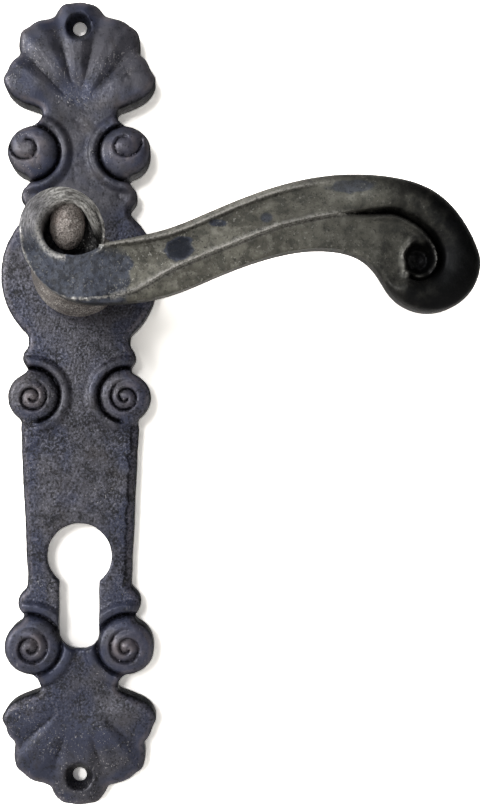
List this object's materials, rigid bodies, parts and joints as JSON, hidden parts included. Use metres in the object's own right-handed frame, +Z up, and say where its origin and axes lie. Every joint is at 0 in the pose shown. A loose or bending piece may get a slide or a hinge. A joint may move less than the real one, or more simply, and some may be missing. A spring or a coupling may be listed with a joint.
{
  "type": "door lever handle",
  "caption": "Blackened cast-iron door lever with a scrolled end on a long plate with palmettes, volutes and a profile cylinder keyhole, sprung to return to level.",
  "frame": {"origin": "where the lever's turning axis meets the face of the door, on the back of the plate", "axes": "+Z up the door, +X along the lever to its tip, -Y out of the door towards the hand"},
  "size_m": [0.1317, 0.113, 0.2439],
  "materials": {
    "plate_iron": "blackened, hammered and pitted",
    "lever_iron": "blackened, worn bright along its edges",
    "hub_iron": "granular, brown-black",
    "bush_brass": "turned, dull",
    "washer_nylon": "matt",
    "zinc_steel": "zinc plated",
    "spring_steel": "oiled, dark"
  },
  "bodies": {
    "plate": {"back_plate": "plate_iron", "bearing_bush": "bush_brass", "cover_plate": "zinc_steel", "cover_screws": "zinc_steel", "stop_pins": "zinc_steel", "spring_peg": "zinc_steel", "return_spring": "spring_steel"},
    "lever": {"lever_bar": "lever_iron", "lever_hub": "hub_iron", "thrust_washer": "washer_nylon", "disc_spring": "spring_steel", "retaining_ring": "spring_steel", "spring_cam": "zinc_steel", "spindle": "zinc_steel", "spindle_pin": "spring_steel"}
  },
  "joints": [
    {"name": "lever_turn", "type": "hinge", "parent": "plate", "child": "lever", "pos_m": [0, 0, 0], "axis": [0, 1, 0], "range_deg": [0, 45], "stiffness_Nm_per_rad": 1.2, "springref_deg": -29.79, "deforming": ["return_spring"]}
  ]
}
